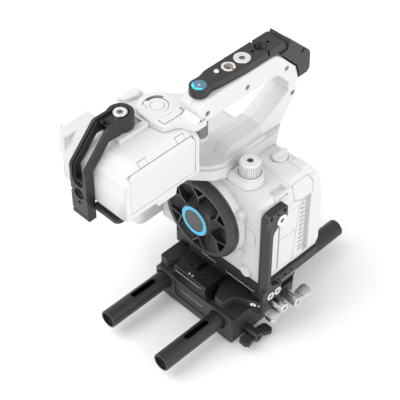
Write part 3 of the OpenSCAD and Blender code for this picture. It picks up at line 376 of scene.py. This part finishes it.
def thread(node, label, mouth, inward, radius, turns, pitch, height, material):
    """A helical ridge in a hole: a V section wound round the hole's axis from its mouth inwards."""
    sunk, foot_share, steps_a_turn = 0.1, 0.98, 28
    same_place, smooth = 1e-6, math.radians(40)
    foot = radius + sunk
    section = [Vector((foot, 0, 0)), Vector((radius - height, 0, pitch / 2)),
               Vector((foot, 0, pitch * foot_share))]
    ridge = line(label, [corner / 1000 for corner in section], closed=True)
    winding = ridge.modifiers.new("winding", "SCREW")
    winding.axis, winding.angle, winding.iterations = "Z", math.tau, turns
    winding.screw_offset = pitch / 1000
    winding.steps = winding.render_steps = steps_a_turn
    apply_all(ridge)
    bpy.ops.object.mode_set(mode="EDIT")
    bpy.ops.mesh.select_all(action="SELECT")
    bpy.ops.mesh.remove_doubles(threshold=same_place)
    bpy.ops.mesh.normals_make_consistent(inside=False)
    bpy.ops.object.mode_set(mode="OBJECT")
    turn = Vector(inward).to_track_quat("Z", "Y").to_matrix().to_4x4()
    ridge.matrix_world = Matrix.Translation(mouth) @ turn
    bpy.ops.object.transform_apply()
    bpy.ops.object.shade_smooth_by_angle(angle=smooth)
    ridge.name = ridge.data.name = label
    return belongs(ridge, node, material)


anodised = finish("black_anodised_satin", (0.027, 0.0275, 0.029), 0.38, metallic=0.25, mottle=0.10)
# Painted shade for holes, slots and bores in the black parts, as a near-black second material.
hole_shade = finish("painted_hole_shade", (0.006, 0.006, 0.0065), 0.55, mottle=0.10)
rod_length = (left_rod[1][1] - left_rod[0][1]) * 1000
# The threads inside the rod ends are painted with the hole shade.
end_thread = {"radius": 6.0, "turns": 9, "pitch": 1.5, "height": 0.6, "material": hole_shade}
mouth_deep = 1.2
for rod, x in (("rod_left", -30), ("rod_right", 30)):
    tube = machined(rod, anodised, edge=0.4)
    # The slot walls and the bore are painted with the hole shade.
    paint_recess_shade(tube, (0, -1, 0), hole_shade, across=13.0, floors=False)
    front_mouth, rear_mouth = at(x, mouth_deep, 0), at(x, rod_length - mouth_deep, 0)
    thread(rod, rod + "_front_thread", front_mouth, (0, 1, 0), **end_thread)
    thread(rod, rod + "_rear_thread", rear_mouth, (0, -1, 0), **end_thread)


# Rod clamp block: a milled aluminium block with a pocket in its front, two bores for the rods and
# a clamp pad at its side, which a black wing screw with a bronze washer pulls in. A printed scale
# in the pocket helps to centre the plate.
def ticks(node, label, start, end, upright, count, material, reach=1.1):
    """A printed scale of short bars with a longer one at every fifth. Reach is in millimetres."""
    bar_width, ink_thick, long_bars = 0.00042, 0.00006, 1.8
    across = end - start
    face = across.normalized().cross(upright).normalized()
    bars = []
    for every, height in ((1, reach), (5, reach * long_bars)):
        bpy.ops.object.select_all(action="DESELECT")
        bpy.ops.mesh.primitive_cube_add(size=1.0)
        bar = bpy.context.active_object
        bpy.ops.object.mode_set(mode="EDIT")
        bpy.ops.transform.resize(value=(bar_width, height / 1000, ink_thick))
        bpy.ops.transform.translate(value=(0, height / 2000, 0))
        bpy.ops.object.mode_set(mode="OBJECT")
        row = bar.modifiers.new("row", "ARRAY")
        row.use_relative_offset, row.use_constant_offset = False, True
        row.count = (count - 1) // every + 1
        row.constant_offset_displace = (every * across.length / (count - 1), 0, 0)
        apply_all(bar)
        bars.append(bar)
    bars[0].select_set(True)
    bpy.ops.object.join()
    scale = bpy.context.active_object
    axes = Matrix((across.normalized(), upright, face)).transposed().to_4x4()
    scale.matrix_world = Matrix.Translation(start) @ axes
    bpy.ops.object.transform_apply()
    scale.name = scale.data.name = label
    return belongs(scale, node, material)


# The block and its pad take a lighter copy of the black anodising: painted light, for the stronger
# light that falls on them.
block_lit_black = finish("block_anodised_painted_light", (0.046, 0.0465, 0.048), 0.42, metallic=0.3, mottle=0.10)
machined("rod_clamp_block", block_lit_black, edge=0.8, steps=3)
machined("rod_clamp_pad", block_lit_black, edge=0.5)
# Painted shade for the sockets of screws and the bores of thread inserts.
socket_shade = finish("socket_shadow", (0.36, 0.32, 0.30), 0.45, metallic=0.6)
clamp_screw = machined("rod_clamp_screw", anodised, edge=0.3)
# The screw's socket is painted with the hole shade.
paint_recess_shade(clamp_screw, (1, 0, 0), hole_shade, floors=False)
washer_bronze = finish("washer_bronze", (0.12, 0.09, 0.07), 0.38, metallic=0.8)
machined("rod_clamp_washer", washer_bronze, edge=0.1)
white_ink = finish("printed_white", (0.80, 0.80, 0.80), 0.5, mottle=0.03)
up = Vector((0, 0, 1))
block_front, pocket_deep, scale_z = 61.0, 1.15, -1.5
pocket_ends = [at(x, block_front + pocket_deep, scale_z) for x in (-12, 12)]
ticks("rod_clamp_block", "pocket_scale", *pocket_ends, up, 16, white_ink)
tripod_thread = {"turns": 8, "pitch": 1.27, "height": 0.45, "material": anodised}
thread("rod_clamp_block", "base_thread", at(0, 96.5, -17.0), (0, 0, 1), 3.0, **tripod_thread)


# Quick-release receiver: a fixed jaw bolted on the block and a moving jaw that two wing screws draw
# against the dovetail. The moving jaw carries a printed closed-lock mark with an arrow.
for piece in ("receiver_body", "receiver_jaw"):
    machined(piece, anodised, edge=0.7, steps=3)
machined("jaw_washers", washer_bronze, edge=0.1)
steel = finish("turned_steel", (0.90, 0.89, 0.87), 0.30, metallic=1.0, mottle=0.04)
machined("receiver_bolts", steel, edge=0.25)
clear_anodised = finish("clear_anodised", (0.74, 0.74, 0.74), 0.24, metallic=1.0, mottle=0.05)
for piece in ("jaw_screw_front", "jaw_screw_rear"):
    lever = machined(piece, clear_anodised, edge=0.3)
    # The lever's socket is painted with the socket shade.
    paint_recess_shade(lever, (1, 0, 0), socket_shade, floors=False)


def mark(label, corners, radius, place, material, flatten=0.0, thick=0.06):
    """A small printed mark on the jaw: a regular outline, cut flat at its foot by flatten."""
    bpy.ops.object.select_all(action="DESELECT")
    bpy.ops.mesh.primitive_circle_add(vertices=corners, radius=radius / 1000, fill_type="NGON")
    spot = bpy.context.active_object
    bpy.ops.object.mode_set(mode="EDIT")
    bpy.ops.mesh.select_all(action="SELECT")
    if flatten:
        bpy.ops.mesh.bisect(plane_co=(0, -flatten * radius / 1000, 0), plane_no=(0, -1, 0),
                            clear_outer=True, use_fill=False)
        bpy.ops.mesh.select_all(action="SELECT")
    bpy.ops.mesh.extrude_region_move(TRANSFORM_OT_translate={"value": (0, 0, thick / 1000)})
    bpy.ops.mesh.select_all(action="SELECT")
    bpy.ops.mesh.normals_make_consistent(inside=False)
    bpy.ops.object.mode_set(mode="OBJECT")
    axes = Matrix((jaw_across, up, jaw_across.cross(up))).transposed().to_4x4()
    spot.matrix_world = Matrix.Translation(place) @ axes
    bpy.ops.object.transform_apply()
    spot.name = spot.data.name = label
    return belongs(spot, "receiver_jaw", material)


def on_jaw(far, height):
    """A place on the jaw's slanting front face, by its distance from the elbow and its height."""
    sunk = 0.00002
    spot = jaw_elbow + along_jaw * far
    return at(spot.x, spot.y, height) - jaw_out * sunk


jaw_corner, jaw_elbow = Vector((56, 84.2)), Vector((35.6, 73.5))
along_jaw = (jaw_corner - jaw_elbow).normalized()
jaw_across = Vector((*along_jaw, 0))
jaw_out = Vector((along_jaw.y, -along_jaw.x, 0))
lock_far, arrow_far = 15.5, 20.0
mark("lock_mark", 28, 2.3, on_jaw(lock_far, 16.6), white_ink, flatten=0.35)
mark("lock_mark_keyhole", 20, 0.55, on_jaw(lock_far, 17.2), anodised, thick=0.12)
mark("lock_arrow", 3, 1.0, on_jaw(arrow_far, 16.8), white_ink)


# Dovetail plate: the sliding deck. Engraved lines part its two pads, a slot and two holes take a
# lens support, two steel pins stand at its front edge, and a scale runs along its leaning nose.
# The deck takes a much darker copy of the black anodising: painted shade, for the shadow it lies in.
deck_shaded_black = finish("deck_anodised_painted_shade", (0.0045, 0.0046, 0.005), 0.30, metallic=0.05, mottle=0.12)
deck_top = 27.0
pad_line = (17.4, 67.2), (16.3, 66.5), (10.8, 70.0), (9.7, 71.8), (9.9, 75.0), (7.4, 80.6)
pad_grooves = [([at(side * x, y, deck_top) for x, y in pad_line], 0.5, False) for side in (-1, 1)]
deck = machined("dovetail_plate", deck_shaded_black, edge=0.7, steps=3, grooves=pad_grooves)
# Its slot and holes are painted with the hole shade.
paint_recess_shade(deck, (0, 0, 1), hole_shade, floors=False)
machined("deck_pins", steel, edge=0.2)
nose_up = Vector((0, 2, 10)).normalized()
nose_ends = [at(x, 59.05, 23.6) for x in (-14, 13)]
ticks("dovetail_plate", "nose_scale", *nose_ends, nose_up, 21, white_ink, reach=0.8)


# Camera plate: the anodised plate under the camera, with clearance pockets below and screw holes
# at its side. Printed scales stand on its front edge and its right edge.
plate_black = finish("plate_anodised", (0.022, 0.0225, 0.024), 0.40, metallic=0.3, mottle=0.10)
camera_plate = machined("camera_plate", plate_black, edge=0.6, steps=3)
# The plate's pockets and screw holes are painted with the hole shade.
paint_recess_shade(camera_plate, (1, 0, 0), hole_shade, across=6.0, floors=False)
machined("camera_screw", steel, edge=0.3)
plate_front, plate_right, ink_off = 81.0, 56.0, 0.02
front_y, right_x = plate_front - ink_off, plate_right + ink_off
for label, start, end, count in (
        ("front_scale_left", at(-7, front_y, 33), at(8, front_y, 33), 13),
        ("front_scale_right", at(20, front_y, 31.5), at(49, front_y, 31.5), 26),
        ("side_scale", at(right_x, 105.5, 30), at(right_x, 120.5, 30), 16)):
    ticks("camera_plate", label, start, end, up, count, white_ink)


# Side arm: one milled upright from the plate's side to the body's shoulder.
# Two screws hold it to the plate, and one in its top pad holds it to the body.
arm = machined("side_arm", anodised, edge=0.6, steps=3)
# The arm's holes are painted with the hole shade.
paint_recess_shade(arm, (1, 0, 0), hole_shade, across=6.0, floors=False)
for piece in ("side_arm_screws", "side_arm_top_screw"):
    # The screws' sockets are painted with the socket shade.
    paint_recess_shade(machined(piece, steel, edge=0.3), (1, 0, 0), socket_shade, across=5.0)


# Lens cap: a moulded wheel of six forked spokes. Its rim is knurled in four sectors with plain arcs
# between them. A grey disc with a cyan ring, marked like a dial, is set in the hub.
cap_centre = at(0, 0, 85)
cap_r = 36.0


def knurl(place):
    """Diamond knurling on the rim's outer wall, in four sectors, with painted shade in its grooves.
    """
    sectors, first_middle, half_sector = 4, math.radians(52), math.radians(24)
    rim_deep, pitch = 0.6, 1.7
    groove_shade_colour, groove_shade_strength, groove_height = (0.012, 0.012, 0.013), 0.55, 0.00035
    x, y, z = place.parts(cap_centre)
    angle = x.maths("ARCTAN2", z, x)
    turned = (angle - first_middle) * sectors
    sector = turned.maths("COSINE", turned) > math.cos(half_sector * sectors)
    rim = x.hypotenuse(z) > cap_r - rim_deep
    wave = math.pi / pitch
    diamond = (abs(((angle * cap_r + y) * wave).sine())
               * abs(((angle * cap_r - y) * wave).sine()))
    mask = sector * rim
    paint = mask * (1 - diamond) * groove_shade_strength, groove_shade_colour
    return [paint], mask * diamond * groove_height


cap_black = finish("cap_moulded_black", (0.034, 0.034, 0.036), 0.40, metallic=0.1, mottle=0.10,
                   pattern=knurl)
# Painted shade for the cap's deep pockets, on their walls and floors.
cap_pocket_shade = finish("cap_pocket_painted_shade", (0.010, 0.010, 0.011), 0.5, mottle=0.10)
cap = machined("lens_cap", cap_black, edge=0.5)
paint_recess_shade(cap, (0, -1, 0), cap_pocket_shade, deep=3.0, across=34.0)
disc_grey = finish("badge_grey", (0.085, 0.086, 0.09), 0.35, metallic=0.4, mottle=0.08)
machined("cap_badge", disc_grey, edge=0.3)
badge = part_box("cap_badge")
badge_front = Vector(((badge[0][0] + badge[1][0]) / 2, badge[0][1],
                      (badge[0][2] + badge[1][2]) / 2))


def dial_ring(place):
    """Fine dark marks round the ring, one every ten degrees, and thin dark edges."""
    half_marks, mark_width = 18, 0.22
    marks_in, marks_out, ring_in, ring_out = 10.6, 12.0, 9.9, 12.7
    mark_colour, edge_colour = (0.02, 0.09, 0.12), (0.10, 0.09, 0.09)
    x, y, z = place.parts(badge_front)
    reach = x.hypotenuse(z)
    fine = abs((x.maths("ARCTAN2", z, x) * half_marks).sine()) < mark_width
    band = (reach > marks_in) * (reach < marks_out)
    edge = 1 - (reach > ring_in) * (reach < ring_out)
    return [(fine * band, mark_colour), (edge, edge_colour)], None


cyan_ring = finish("ring_cyan", (0.05, 0.62, 0.95), 0.30, mottle=0.05, pattern=dial_ring)
ring_r, ring_width, ring_thick = 0.0130, 0.0034, 0.00025
bpy.ops.object.select_all(action="DESELECT")
bpy.ops.mesh.primitive_circle_add(vertices=96, radius=ring_r, fill_type="NGON")
ring = bpy.context.active_object
bpy.ops.object.mode_set(mode="EDIT")
bpy.ops.mesh.select_all(action="SELECT")
bpy.ops.mesh.inset(thickness=ring_width)
bpy.ops.mesh.delete(type="FACE")
bpy.ops.mesh.select_all(action="SELECT")
bpy.ops.mesh.extrude_region_move(TRANSFORM_OT_translate={"value": (0, 0, ring_thick)})
bpy.ops.mesh.select_all(action="SELECT")
bpy.ops.mesh.normals_make_consistent(inside=False)
bpy.ops.object.mode_set(mode="OBJECT")
ring.matrix_world = Matrix.Translation(badge_front) @ Matrix.Rotation(math.radians(90), 4, "X")
bpy.ops.object.transform_apply()
ring.name = ring.data.name = "badge_ring"
belongs(ring, "cap_badge", cyan_ring)


# Dummy camera body: two moulded white shells with a lens ring, port doors, vents, a grip and small
# controls. It stands for the camera that the cage is made for, and its shells are matt as moulded.
white = finish("dummy_white", (0.67, 0.67, 0.67), 0.55, mottle=0.012, grain=1800.0, depth=0.00001)
body_front, body_top = 84.0, 125.0
cover_outline = (41, 96.5), (49, 96.5), (49, 104.5), (41, 104.5)
kidney_outline = ((41.6, 114.2), (43.4, 114.6), (44.2, 116.3), (43.6, 118.6), (42, 119.6),
                  (40.7, 118.6), (41.3, 116.6))
seam_outline = (39.5, 90.5), (45, 90.5), (45, 84.9)
shell_grooves = [
    ([at(x, body_front, z) for x, z in cover_outline], 0.6, True),
    ([at(x, body_front, z) for x, z in kidney_outline], 0.6, True),
    ([at(x, y, body_top) for x, y in seam_outline], 0.5, False)]
machined("body_front_shell", white, edge=1.1, steps=3, grooves=shell_grooves)
machined("body_rear_shell", white, edge=1.1, steps=3)
for piece in ("lens_mount_ring", "lens_release_button", "port_door_front", "port_door_upper",
              "port_door_lower", "upper_cover"):
    machined(piece, white, edge=0.4)
for piece in ("vent_grille", "rear_screen", "mode_dial"):
    machined(piece, white, edge=0.3)
machined("grip", white, edge=2.5, steps=4)
# This grey is the head dial's own colour and also the painted shade in the lock knob's recess.
grey_dial_and_shade = finish("grey_dial_and_painted_shade", (0.20, 0.20, 0.205), 0.5, mottle=0.05)
machined("knob_pedestal", white, edge=0.9, steps=3)
lock_knob = machined("handle_lock_knob", white, edge=0.4)
# The knob's recess is painted with the grey as shade.
paint_recess_shade(lock_knob, (0, 0, 1), grey_dial_and_shade, across=5.0)
machined("strap_lug", white, edge=0.4)
machined("grip_dial", anodised, edge=0.2)


# Top handle of the dummy camera: two moulded halves screwed together round a central seam.
# They stand on a foot with a blended root, along whose middle the seam goes on.
def landed(node, start, way):
    """Where a ray from a place first meets a node's surface."""
    return surface(frame["nodes"][node].data).ray_cast(start, Vector(way))[0] or start


def beside_seam(place):
    """Whether a place lies at the seam between the handle's halves."""
    return abs(place.x - middle_x) < 0.0003


middle_x = at(0, 0, 0).x
above_foot, halves_top = 175, 206
foot_seam = [landed("handle_foot", at(0, y, above_foot), (0, 0, -1)) for y in range(125, 78, -2)]
rear_pad = (9.0, 97), (9.0, 139), (-9.0, 139), (-9.0, 97)
front_pad = (9.0, 72), (9.0, 89), (8.2, 90.5), (-8.2, 90.5), (-9.0, 89), (-9.0, 72)
half_grooves = [([at(x, y, halves_top) for x, y in pad], 0.35, True)
                for pad in (rear_pad, front_pad)]
# The foot takes a darker copy of the moulded white: painted shade, for the shade that falls on it
# under the handle.
foot_shaded_white = finish("foot_shaded_white", (0.61, 0.61, 0.61), 0.6, mottle=0.02)
machined("handle_foot", foot_shaded_white, edge=1.8, steps=4, grooves=[(foot_seam, 0.6, False)])
for piece in ("handle_half_right", "handle_half_left"):
    machined(piece, white, edge=1.6, steps=4, crisp=beside_seam, grooves=half_grooves)
dull_steel = finish("dull_steel", (0.30, 0.30, 0.30), 0.4, metallic=0.9)
machined("handle_screws", dull_steel, edge=0.2)


# Control head: the moulded front of the handle, with the ribbed wheel that is seen below it.
# On top it has a record button in a lock ring and a zoom rocker.
seam_shade = finish("seam_shadow", (0.22, 0.22, 0.22), 0.6, mottle=0.02)
head = machined("control_head", white, edge=1.4, steps=4)
# The walls of the head's pockets are painted with seam shade, to darken the gaps round the parts set
# in them.
paint_recess_shade(head, (0, 0, 1), seam_shade, across=26.0, floors=False)
for piece in ("rec_button", "rec_lock_ring", "zoom_rocker"):
    machined(piece, white, edge=0.3)
machined("head_dial", grey_dial_and_shade, edge=0.2)


# Audio box: a thin-walled moulding with a hinged side door that two latches hold.
# A cold shoe stands on top, and a small socket is set in its left end.
machined("audio_box", white, edge=2.0, steps=5)
machined("audio_door", white, edge=0.45, steps=3)
for piece in ("door_latch_front", "door_latch_rear"):
    machined(piece, white, edge=0.25)
machined("accessory_shoe", white, edge=0.35)
machined("audio_sockets", finish("socket_mouldings", (0.42, 0.42, 0.42), 0.5), edge=0.2)


# Guard bracket: a bent anodised strap with a long slot, bolted into the cold shoe, that guards the
# box's front. Its lower end has a large accessory thread with four small holes for locating pins.
guard_black = finish("guard_anodised", (0.021, 0.0215, 0.023), 0.38, metallic=0.2, mottle=0.10)
guard = machined("guard_bracket", guard_black, edge=0.5, steps=3)
# The bracket's slot and holes are painted with the hole shade.
paint_recess_shade(guard, (0, -1, 0), hole_shade, across=10.0, floors=False)
# The bolt's socket is painted with the socket shade.
paint_recess_shade(machined("guard_bolt", steel, edge=0.4), (0, 0, 1), socket_shade, across=5.5)
large_thread = {"radius": 4.75, "turns": 4, "pitch": 1.59, "height": 0.6}
thread("guard_bracket", "guard_thread", at(-27, -18.1, 153.1), (0, 1, 0), material=guard_black,
       **large_thread)


# Top plate: the anodised plate screwed on the handle, with a spirit level, a locating pin, a steel
# thread insert, a large accessory thread, and a serrated rail at its rear end.
top_plate = machined("top_plate", anodised, edge=0.5, steps=3)
# The plate's holes are painted with the hole shade.
paint_recess_shade(top_plate, (0, 0, 1), hole_shade, across=10.0, floors=False)
for piece, edge, across in (("top_plate_screw", 0.35, 4.5), ("thread_insert", 0.3, 7.0)):
    # The screw's socket and the insert's bore are painted with the socket shade.
    paint_recess_shade(machined(piece, steel, edge=edge), (0, 0, 1), socket_shade, across=across)
machined("locating_pin", steel, edge=0.35)
top_plate_top = 213.0
thread("top_plate", "top_plate_ridge", at(0, 131.6, top_plate_top - 0.4), (0, 0, -1),
       material=plate_black, **large_thread)
# The insert's thread is painted with the socket shade.
thread("thread_insert", "insert_ridge", at(0, 99.5, top_plate_top - 0.2), (0, 0, -1),
       3.2, 5, 1.27, 0.45, socket_shade)
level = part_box("level_vial")
level_top = Vector(((level[0][0] + level[1][0]) / 2, (level[0][1] + level[1][1]) / 2,
                    level[1][2]))


def bubble(place):
    """Blue fluid with a painted cyan highlight (the lip) on one side, a dark ring round the bubble
    and a dark spot.
    """
    bubble_r, target_r = 1.25, 1.75
    highlight_reach, highlight_lean, highlight_low, highlight_high = 0.62, 0.55, 3.3, 4.0
    spot_front, spot_flat, spot_tall, spot_r = 3.9, 0.30, 2.2, 0.85
    bubble_blue, highlight_cyan, target_dark, spot_dark = (
        (0.22, 0.50, 0.72), (0.03, 0.75, 0.95), (0.015, 0.05, 0.08), (0.02, 0.22, 0.34))
    x, y, z = place.parts(level_top)
    reach = x.hypotenuse(y)
    target = (reach > bubble_r) * (reach < target_r)
    # lip is the mask of the painted highlight.
    lip = (reach * highlight_reach - y * highlight_lean).step(highlight_low, highlight_high)
    behind = y + spot_front
    spot = x.maths("SQRT", x * x * spot_flat + behind * behind * spot_tall) < spot_r
    layers = [(reach < bubble_r, bubble_blue), (lip, highlight_cyan), (target, target_dark),
              (spot, spot_dark)]
    return layers, None


fluid = finish("level_fluid", (0.075, 0.17, 0.25), 0.2, mottle=0.10, coat=0.4, depth=0.000002,
               pattern=bubble)
machined("level_vial", fluid, edge=0.6, steps=4)
level_rim = finish("level_rim", (0.04, 0.07, 0.09), 0.25, metallic=0.3)
machined("level_bezel", level_rim, edge=0.2)


# Studio: a pale sweep under a bright surround, with one large soft light in front and one beside.
# The camera stands where the photographer stood.
bpy.ops.object.select_all(action="DESELECT")
bpy.ops.mesh.primitive_plane_add(size=30.0, location=(0, 0, 0))
floor = bpy.context.active_object
floor.name = "studio_floor"
floor_paper = finish("studio_paper", (0.93, 0.93, 0.93), 0.9, mottle=0.005, grain=300.0)
floor.data.materials.append(floor_paper)
surround = bpy.data.worlds.new("studio_surround")
surround.use_nodes = True
sky = surround.node_tree.nodes["Background"].inputs
sky["Color"].default_value = (1, 1, 1, 1)
sky["Strength"].default_value = 0.86
bpy.context.scene.world = surround
aim = Vector((0, 0, 0.1))
for name, place, size, power in (("key_softbox", (-0.7, -1.1, 1.9), 1.8, 28.0),
                                 ("side_softbox", (1.7, -0.1, 0.8), 1.2, 12.0)):
    lamp = bpy.data.lights.new(name, "AREA")
    lamp.shape, lamp.size, lamp.energy = "SQUARE", size, power
    stand = bpy.data.objects.new(name, lamp)
    stand.location = place
    stand.rotation_euler = (aim - Vector(place)).to_track_quat("-Z", "Y").to_euler()
    bpy.context.scene.collection.objects.link(stand)
lens = bpy.data.cameras.new("photo_camera")
lens.lens, lens.sensor_width, lens.clip_start, lens.clip_end = 110.87, 36.0, 0.05, 60.0
viewer = bpy.data.objects.new("photo_camera", lens)
viewer.location = (0.4683, -0.47935, 0.7627)
azimuth, elevation = 45.11, 44.63
viewer.rotation_euler = (math.radians(90 - elevation), 0.0, math.radians(azimuth))
bpy.context.scene.collection.objects.link(viewer)
bpy.context.scene.camera = viewer
bpy.context.scene.view_settings.view_transform = "Standard"
